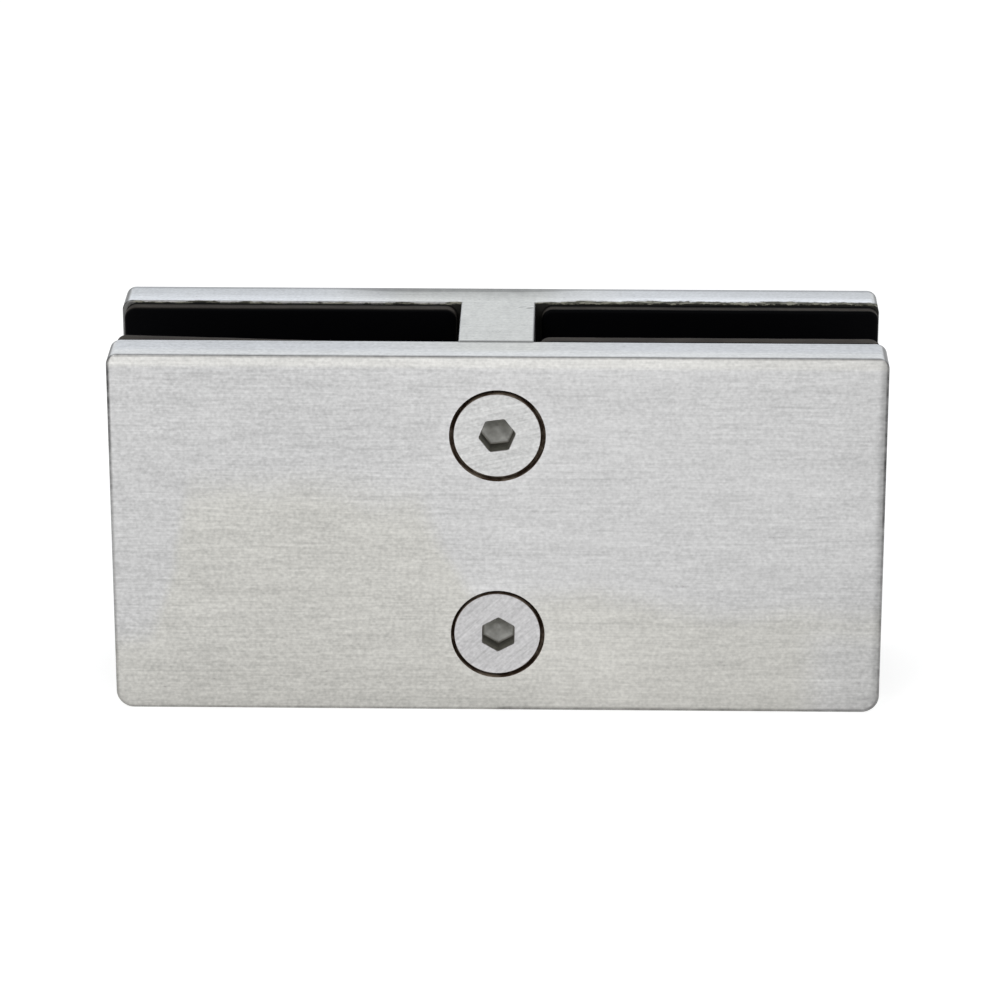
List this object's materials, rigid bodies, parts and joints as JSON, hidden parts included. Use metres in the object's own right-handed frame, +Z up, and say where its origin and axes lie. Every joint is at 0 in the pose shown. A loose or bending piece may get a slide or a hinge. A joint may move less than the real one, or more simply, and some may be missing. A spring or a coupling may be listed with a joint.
{
  "type": "glass panel clamp",
  "caption": "Straight clamp that joins two glass panes edge to edge between rubber-faced steel plates, closed by countersunk socket screws through a central rib.",
  "frame": {"origin": "centre of the clamp's footprint, on the plane its two plates stand on", "axes": "+X along the clamp, to the right as its screw heads are faced, -Y out of the screwed front plate, +Z up"},
  "size_m": [0.1, 0.028, 0.049],
  "materials": {
    "rear_body": "fine horizontal brushed satin",
    "front_plate": "fine horizontal brushed satin",
    "screws": "brushed satin head, machined thread",
    "gaskets": "smooth matt black"
  },
  "bodies": {
    "rear_assembly": {"rear_body": "rear_body", "rear_left_gasket": "gaskets", "rear_right_gasket": "gaskets"},
    "front_assembly": {"front_plate": "front_plate", "front_left_gasket": "gaskets", "front_right_gasket": "gaskets"},
    "upper_screw_body": {"upper_screw": "screws"},
    "lower_screw_body": {"lower_screw": "screws"}
  },
  "joints": [
    {"name": "plate_slide", "type": "slide", "parent": "rear_assembly", "child": "front_assembly", "axis": [0, -1, 0], "range_m": [0, 0.012]},
    {"name": "upper_screw_turn", "type": "hinge", "parent": "front_assembly", "child": "upper_screw_body", "pos_m": [0, -0.0139, 0.03825], "axis": [0, -1, 0], "range_deg": [0, 4320.5]},
    {"name": "lower_screw_turn", "type": "hinge", "parent": "front_assembly", "child": "lower_screw_body", "pos_m": [0, -0.0139, 0.01075], "axis": [0, -1, 0], "range_deg": [0, 4320.5]}
  ],
  "couplings": [
    {"joint": "upper_screw_turn", "follows": "plate_slide", "rad_per_m": 6283.2},
    {"joint": "lower_screw_turn", "follows": "plate_slide", "rad_per_m": 6283.2}
  ]
}
